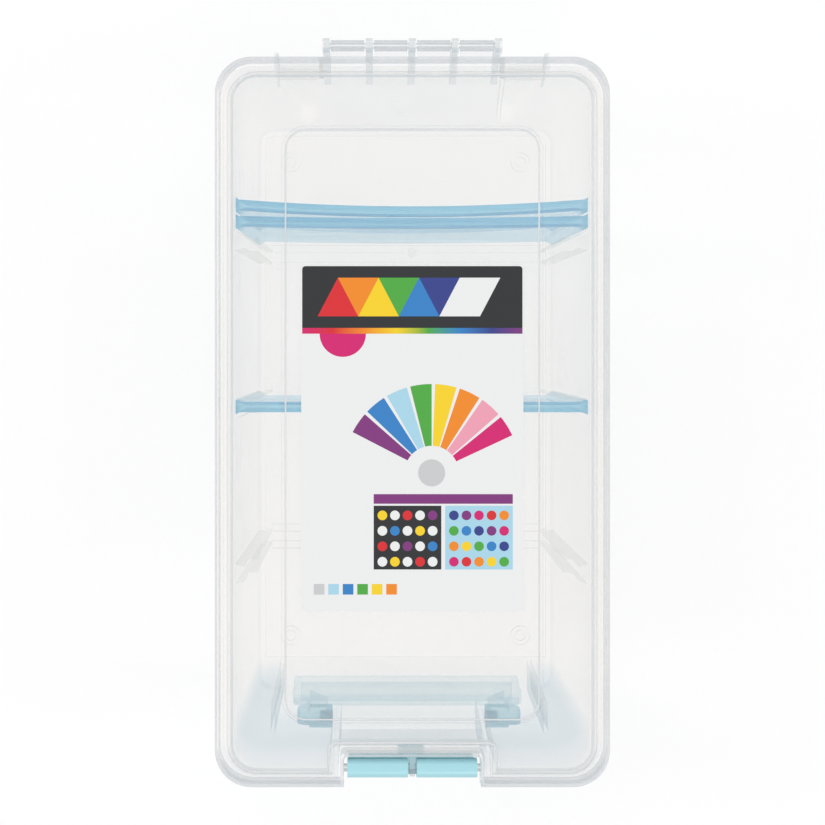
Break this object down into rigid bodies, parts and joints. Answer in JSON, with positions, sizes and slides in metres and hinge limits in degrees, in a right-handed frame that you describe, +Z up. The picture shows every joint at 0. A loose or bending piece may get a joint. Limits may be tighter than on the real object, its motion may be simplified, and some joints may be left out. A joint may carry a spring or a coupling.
{
  "type": "craft storage case",
  "caption": "Clear moulded storage case with a hinged lid, front snap latch, fold-down carrying handle and lift-out dividers in wall slots.",
  "frame": {"origin": "centre of the bounding box at the level of the feet", "axes": "+X across the case to the right, +Y along the case from latch to hinge, +Z up"},
  "size_m": [0.204, 0.3872, 0.159],
  "materials": {
    "clear_base": "clear moulded polypropylene, lightly glossy",
    "clear_lid": "clear moulded polypropylene, lightly glossy",
    "aqua_plastic": "opaque moulded polypropylene, satin",
    "tinted_divider": "translucent tinted polypropylene, satin",
    "printed_paper": "coated print on paper"
  },
  "bodies": {
    "base": {"base": "clear_base", "base_floor": "clear_base"},
    "lid": {"lid": "clear_lid", "label": "printed_paper"},
    "latch": {"latch": "aqua_plastic"},
    "handle": {"handle": "aqua_plastic"},
    "divider_middle": {"divider_middle": "tinted_divider"},
    "divider_rear_inner": {"divider_rear_inner": "tinted_divider"},
    "divider_rear_outer": {"divider_rear_outer": "tinted_divider"}
  },
  "joints": [
    {"name": "lid_hinge", "type": "hinge", "parent": "base", "child": "lid", "pos_m": [0, 0.18965, 0.154], "axis": [-1, 0, 0], "range_deg": [0, 110]},
    {"name": "latch_swing", "type": "hinge", "parent": "lid", "child": "latch", "pos_m": [0, -0.18475, 0.1525], "axis": [-1, 0, 0], "range_deg": [0, 110]},
    {"name": "handle_swing", "type": "hinge", "parent": "base", "child": "handle", "pos_m": [0, -0.17705, 0.081], "axis": [-1, 0, 0], "range_deg": [0, 95]},
    {"name": "divider_middle_lift", "type": "slide", "parent": "base", "child": "divider_middle", "axis": [0, 0, 1], "range_m": [0, 0.008]},
    {"name": "divider_rear_inner_lift", "type": "slide", "parent": "base", "child": "divider_rear_inner", "axis": [0, 0, 1], "range_m": [0, 0.008]},
    {"name": "divider_rear_outer_lift", "type": "slide", "parent": "base", "child": "divider_rear_outer", "axis": [0, 0, 1], "range_m": [0, 0.008]}
  ]
}
